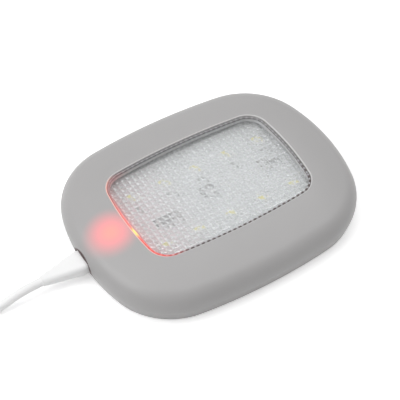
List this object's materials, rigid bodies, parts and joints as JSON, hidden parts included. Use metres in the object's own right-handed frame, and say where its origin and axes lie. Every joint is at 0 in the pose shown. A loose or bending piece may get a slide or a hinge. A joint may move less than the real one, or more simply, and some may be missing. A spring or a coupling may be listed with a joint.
{
  "type": "car interior light",
  "caption": "Low pillow-shaped grey dome light with a recessed clear prismatic lens over white LEDs, a magnetic flat back and a white charging cable plugged into its end.",
  "frame": {"origin": "middle of the flat back face, which the lamp rests on or clings with", "axes": "+X along the lamp away from the charging port, +Y across it, +Z out through the lens"},
  "size_m": [0.1987, 0.0754, 0.0145],
  "materials": {
    "shell": "fine satin moulded grey",
    "cover": "fine satin moulded grey",
    "lens": "clear moulded plastic with prisms inside",
    "board": "white solder mask",
    "solder": "tinned",
    "spring": "drawn wire",
    "chip": "moulded black",
    "capacitor": "ceramic tan",
    "led_case": "white moulded",
    "phosphor": "yellow silicone",
    "indicator": "clear, lit red",
    "socket": "nickel plated sheet",
    "contact": "gold flash",
    "pouch": "laminated foil",
    "strip": "amber tape",
    "foam": "black foam tape",
    "wire_red": "insulated lead",
    "wire_black": "insulated lead",
    "magnet": "nickel plated",
    "screw": "zinc plated",
    "cable": "soft white moulding",
    "tie": "coated wire tie",
    "insert": "white moulded"
  },
  "bodies": {
    "root": {"top_shell": "shell", "back_cover": "cover", "lens": "lens", "led_board": "board", "led_terminals": "solder", "touch_spring": "spring", "charger_chip": "chip", "charger_chip_leads": "solder", "touch_chip": "chip", "touch_chip_leads": "solder", "chip_resistors": "chip", "chip_capacitors": "capacitor", "indicator_package": "led_case", "indicator_lens": "indicator", "socket_shell": "socket", "socket_tongue": "chip", "socket_contacts": "contact", "battery_cell": "pouch", "battery_strip": "strip", "battery_tape": "foam", "battery_wire_red": "wire_red", "battery_wire_black": "wire_black", "magnet_left": "magnet", "magnet_right": "magnet", "board_screws": "screw", "case_screws": "screw", "plug_grip": "cable", "plug_shell": "socket", "cable": "cable", "cable_coil": "cable", "cable_tie": "tie", "supply_grip": "cable", "supply_shell": "socket", "supply_insert": "insert", "supply_contacts": "contact", "led_package_1": "led_case", "led_package_2": "led_case", "led_package_3": "led_case", "led_package_4": "led_case", "led_package_5": "led_case", "led_package_6": "led_case", "led_package_7": "led_case", "led_package_8": "led_case", "led_package_9": "led_case", "led_package_10": "led_case", "led_phosphor_1": "phosphor", "led_phosphor_2": "phosphor", "led_phosphor_3": "phosphor", "led_phosphor_4": "phosphor", "led_phosphor_5": "phosphor", "led_phosphor_6": "phosphor", "led_phosphor_7": "phosphor", "led_phosphor_8": "phosphor", "led_phosphor_9": "phosphor", "led_phosphor_10": "phosphor"}
  },
  "joints": []
}
